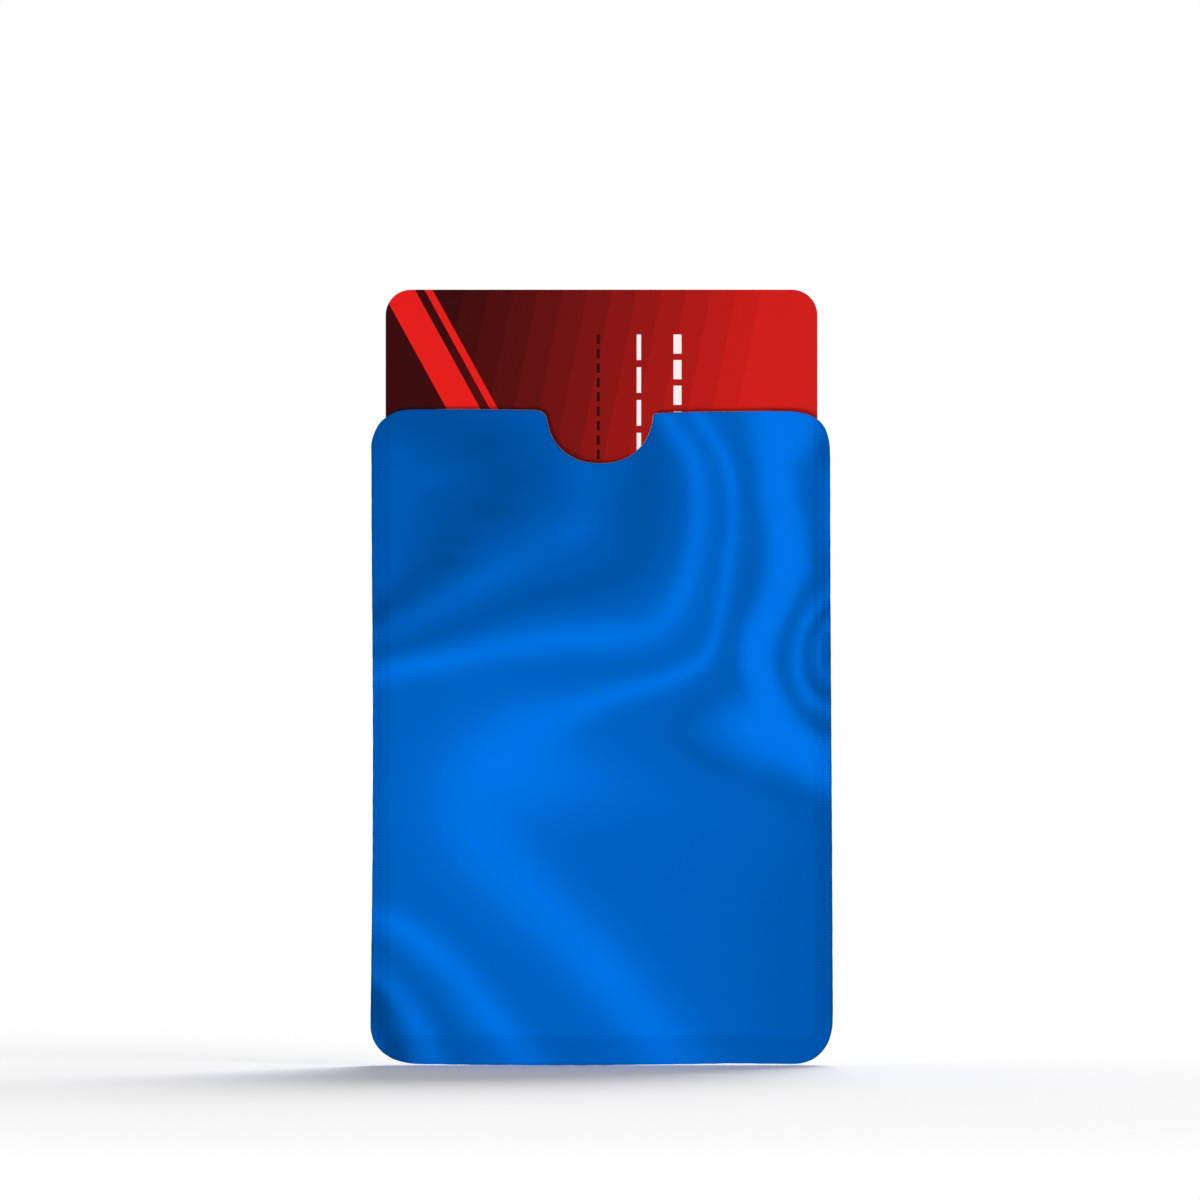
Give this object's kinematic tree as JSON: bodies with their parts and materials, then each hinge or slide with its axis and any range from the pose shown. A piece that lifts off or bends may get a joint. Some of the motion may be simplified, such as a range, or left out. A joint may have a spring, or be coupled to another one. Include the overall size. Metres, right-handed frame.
{
  "type": "rfid card sleeve",
  "caption": "Slim stick-on card sleeve of heat-sealed foil laminate with a half-round thumb notch, holding a payment-size card that slides in and out of its mouth.",
  "frame": {"origin": "centre of the adhesive pad's outer face, which sticks to a flat back", "axes": "+Z along the sleeve towards its open mouth, +X to the right seen from the front, +Y out of the adhesive face, so the coloured front faces -Y"},
  "size_m": [0.0576, 0.0015, 0.0969],
  "materials": {
    "blue_film": "satin metallised blue film with soft lighter waves",
    "foil_shield": "bright foil, seen only at cut edges",
    "lining": "milky heat-sealing film",
    "weld": "fused film pressed with a fine crosshatch",
    "adhesive": "clear tacky acrylic",
    "tape_film": "matte white film",
    "card_face": "glossy printed face in maroon to red",
    "card_core": "white sheet",
    "card_inlay": "cream sheet",
    "antenna_foil": "etched foil",
    "chip": "black moulded package",
    "magnetic_stripe": "smooth dark brown-black",
    "signature_panel": "white writing surface"
  },
  "bodies": {
    "sleeve": {"front_film": "blue_film", "front_shield": "foil_shield", "front_lining": "lining", "left_seam": "weld", "right_seam": "weld", "bottom_seam": "weld", "back_lining": "lining", "back_shield": "foil_shield", "back_film": "blue_film", "tape_inner_adhesive": "adhesive", "tape_carrier": "tape_film", "tape_outer_adhesive": "adhesive"},
    "card": {"card_front_overlay": "card_face", "card_front_core": "card_core", "card_inlay": "card_inlay", "card_antenna": "antenna_foil", "card_chip": "chip", "card_rear_core": "card_core", "card_rear_overlay": "card_face", "card_magnetic_stripe": "magnetic_stripe", "card_signature_panel": "signature_panel"}
  },
  "joints": [
    {"name": "card_slide", "type": "slide", "parent": "sleeve", "child": "card", "axis": [0, 0, 1], "range_m": [-0.0077, 0.0727]}
  ]
}
